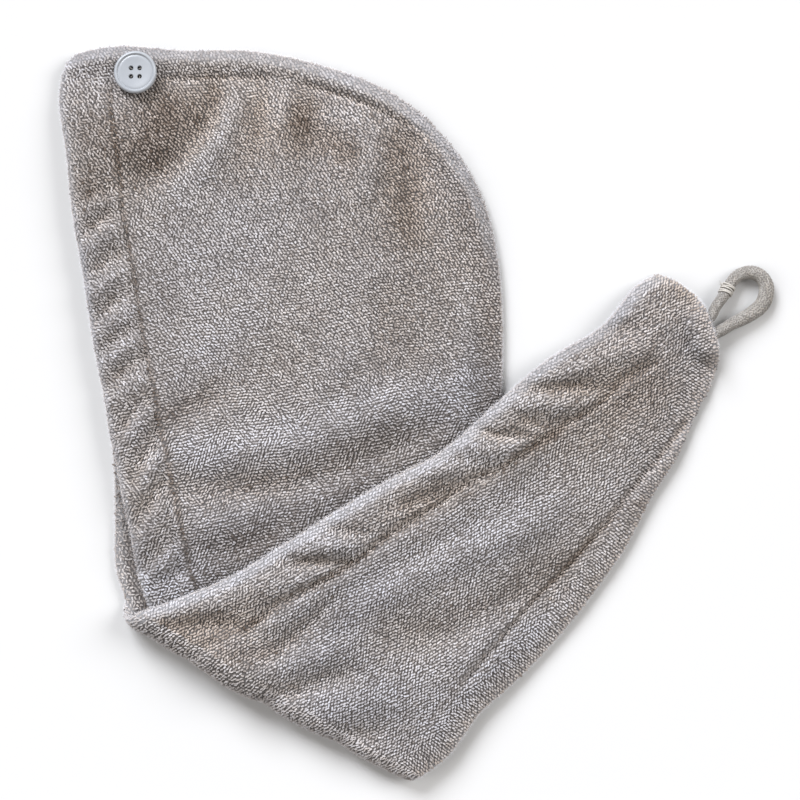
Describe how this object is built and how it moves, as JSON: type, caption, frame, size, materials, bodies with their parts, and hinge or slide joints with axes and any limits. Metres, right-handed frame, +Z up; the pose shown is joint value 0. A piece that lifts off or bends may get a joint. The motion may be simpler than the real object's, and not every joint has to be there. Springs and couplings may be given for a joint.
{
  "type": "hair towel",
  "caption": "Terry hair towel lying flat, its tapering tail folded once over the open hood, with a button at one corner and a cord loop at the tail's tip.",
  "frame": {"origin": "on the table, under the middle of the folded towel's box without its loop", "axes": "+Z up from the table, +Y from the folded end towards the crown, +X from the hood's open edge towards the loop"},
  "size_m": [0.4, 0.411, 0.0287],
  "materials": {
    "terry": "looped pile, matt",
    "button": "satin",
    "cord": "knitted elastic",
    "thread": "sewing thread"
  },
  "bodies": {
    "root": {"front_panel": "terry", "back_panel": "terry", "button": "button", "loop_cord": "cord", "loop_whipping": "thread"}
  },
  "joints": []
}
